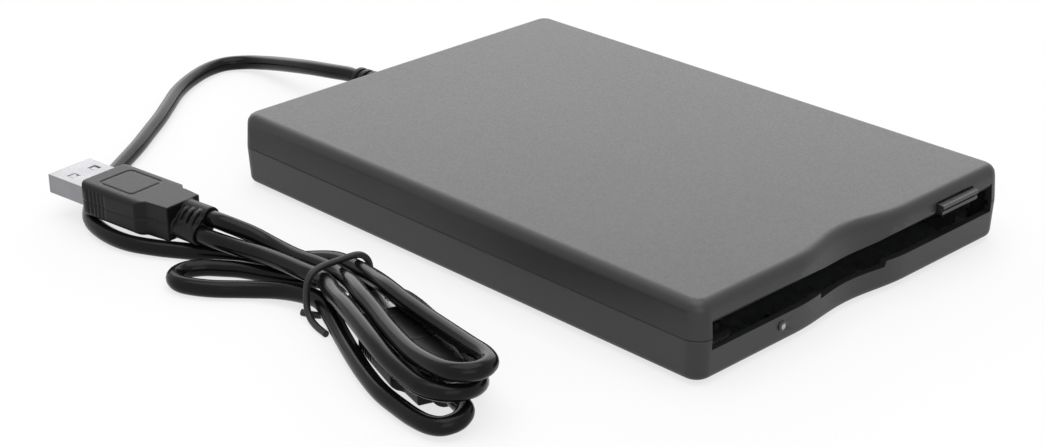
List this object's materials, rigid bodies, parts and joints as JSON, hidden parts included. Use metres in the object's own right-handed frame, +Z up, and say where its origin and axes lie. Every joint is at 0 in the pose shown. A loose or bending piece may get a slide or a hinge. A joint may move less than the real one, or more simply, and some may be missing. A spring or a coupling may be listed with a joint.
{
  "type": "external floppy disk drive",
  "caption": "Slim black external floppy disk drive with a front disk slot, eject button and finger recess, a ribbed strain relief and a tied USB cord.",
  "frame": {"origin": "centre of the case's footprint, button included, on the surface it stands on", "axes": "+Z up, -Y out of the front face with the disk slot, +X to the right of someone facing the front"},
  "size_m": [0.1496, 0.2102, 0.0178],
  "materials": {
    "black_abs": "fine matte texture",
    "foot_rubber": "matte",
    "screw_steel": "zinc plated",
    "clear_lens": "clear, glossy",
    "black_pvc": "smooth semi-gloss PVC",
    "zinc_steel": "zinc-coated sheet",
    "green_board": "solder mask",
    "blue_board": "solder mask",
    "copper_wire": "enamelled copper",
    "bronze": "sintered",
    "polished_steel": "ground and polished",
    "black_nylon": "matte",
    "ivory_nylon": "satin",
    "motor_can": "nickel plated",
    "chip_epoxy": "matte epoxy",
    "ribbon_film": "polyester film",
    "spring_wire": "drawn wire",
    "head_ceramic": "lapped ceramic",
    "plunger_nylon": "satin",
    "tie_pvc": "smooth PVC over wire",
    "plug_steel": "tin-plated steel",
    "white_insulator": "satin"
  },
  "bodies": {
    "case": {"top_cover": "black_abs", "bottom_shell": "black_abs", "rubber_feet": "foot_rubber", "case_screws": "screw_steel", "led_lens": "clear_lens", "cable_gland": "black_pvc", "drive_chassis": "zinc_steel", "drive_cover": "zinc_steel", "chassis_screws": "screw_steel", "stator_board": "green_board", "stator_coils": "copper_wire", "spindle_bearing": "bronze", "guide_rod": "polished_steel", "rail_bracket": "black_nylon", "stepper_motor": "motor_can", "drive_board": "green_board", "track_sensor": "black_nylon", "switch_block": "ivory_nylon", "usb_board": "blue_board", "usb_controller": "chip_epoxy", "cord_connector": "ivory_nylon", "ribbon_cable": "ribbon_film", "eject_springs": "spring_wire", "data_cord": "black_pvc", "data_hank": "black_pvc", "power_hank": "black_pvc", "cord_tie": "tie_pvc", "data_plug_shell": "plug_steel", "data_plug_body": "black_pvc", "data_plug_contacts": "white_insulator", "power_plug_shell": "plug_steel", "power_plug_body": "black_pvc", "power_plug_contacts": "white_insulator"},
    "slide": {"slide_plate": "zinc_steel", "eject_button": "black_abs"},
    "carrier": {"disk_carrier": "zinc_steel", "lever_rivet": "polished_steel"},
    "lever": {"latch_lever": "zinc_steel"},
    "spindle": {"spindle_rotor": "motor_can", "hub_table": "ivory_nylon", "drive_pin": "polished_steel"},
    "carriage": {"head_carriage": "ivory_nylon", "lower_head": "head_ceramic", "arm_pin": "polished_steel"},
    "head_arm": {"upper_head_arm": "zinc_steel", "upper_head": "head_ceramic"},
    "screw": {"lead_screw": "polished_steel"},
    "disk_switch": {"disk_switch_plunger": "plunger_nylon"},
    "density_switch": {"density_switch_plunger": "plunger_nylon"},
    "protect_switch": {"protect_switch_plunger": "plunger_nylon"}
  },
  "joints": [
    {"name": "eject_slide", "type": "slide", "parent": "case", "child": "slide", "axis": [0, -1, 0], "range_m": [-0.0005, 0.0045]},
    {"name": "carrier_lift", "type": "slide", "parent": "case", "child": "carrier", "axis": [0, 0, 1], "range_m": [-0.0021, 0.0003]},
    {"name": "latch_swing", "type": "hinge", "parent": "carrier", "child": "lever", "pos_m": [-0.038, 0.00865, 0.0124], "axis": [0, 0, 1], "range_deg": [0, 52]},
    {"name": "spindle_spin", "type": "hinge", "parent": "case", "child": "spindle", "pos_m": [0, -0.02035, 0.0043], "axis": [0, 0, 1], "continuous": true},
    {"name": "carriage_slide", "type": "slide", "parent": "case", "child": "carriage", "axis": [0, -1, 0], "range_m": [0, 0.0148]},
    {"name": "screw_spin", "type": "hinge", "parent": "case", "child": "screw", "pos_m": [-0.014, 0.03865, 0.0078], "axis": [0, -1, 0], "range_deg": [-5, 1785]},
    {"name": "arm_lift", "type": "hinge", "parent": "carriage", "child": "head_arm", "pos_m": [0, 0.04765, 0.0118], "axis": [1, 0, 0], "range_deg": [-1, 8]},
    {"name": "disk_switch_press", "type": "slide", "parent": "case", "child": "disk_switch", "axis": [0, 0, -1], "range_m": [0, 0.001], "stiffness_N_per_m": 60},
    {"name": "density_switch_press", "type": "slide", "parent": "case", "child": "density_switch", "axis": [0, 0, -1], "range_m": [0, 0.001], "stiffness_N_per_m": 60},
    {"name": "protect_switch_press", "type": "slide", "parent": "case", "child": "protect_switch", "axis": [0, 0, -1], "range_m": [0, 0.001], "stiffness_N_per_m": 60}
  ],
  "couplings": [
    {"joint": "carrier_lift", "follows": "eject_slide", "ratio": -0.44444},
    {"joint": "arm_lift", "follows": "eject_slide", "rad_per_m": 28.3},
    {"joint": "screw_spin", "follows": "carriage_slide", "rad_per_m": 2094.4}
  ]
}
